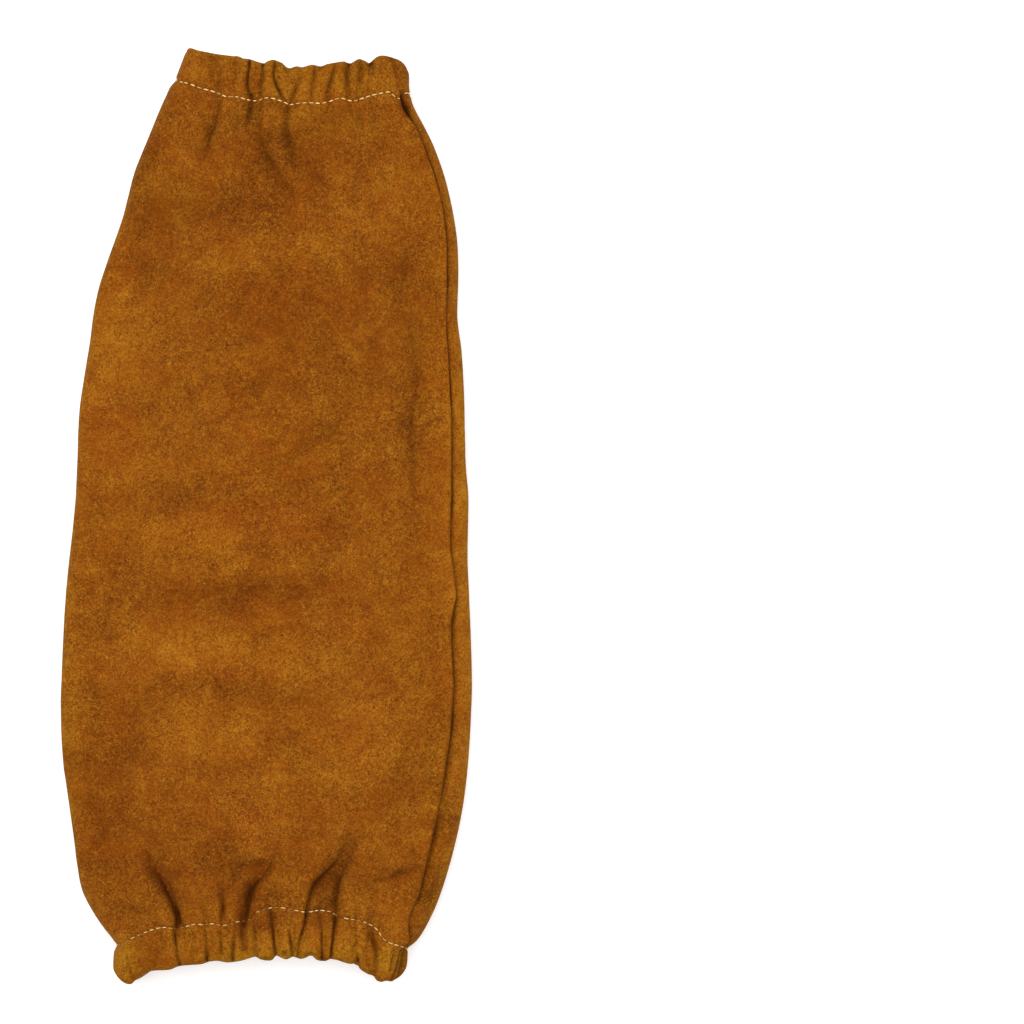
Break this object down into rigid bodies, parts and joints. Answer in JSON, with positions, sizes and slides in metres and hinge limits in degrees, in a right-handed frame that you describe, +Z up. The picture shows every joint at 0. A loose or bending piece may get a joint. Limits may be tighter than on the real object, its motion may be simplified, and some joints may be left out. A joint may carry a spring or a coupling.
{
  "type": "leather arm sleeve",
  "caption": "Protective arm sleeve of split leather: a slack tube closed by one long seam, with an elastic gathered hem at the wrist and at the upper arm, lying flat.",
  "frame": {"origin": "middle of the footprint, on the surface that the sleeve lies on", "axes": "+Z up, out of the front of the lying sleeve; +Y along the sleeve to the wrist end; +X to the side that carries the seam"},
  "size_m": [0.1995, 0.4559, 0.039],
  "materials": {
    "split_leather": "matt brushed suede, golden brown",
    "elastic_webbing": "woven, off-white"
  },
  "bodies": {
    "root": {"sleeve_body": "split_leather", "wrist_hem": "split_leather", "upper_arm_hem": "split_leather", "wrist_elastic": "elastic_webbing", "upper_arm_elastic": "elastic_webbing"}
  },
  "joints": []
}
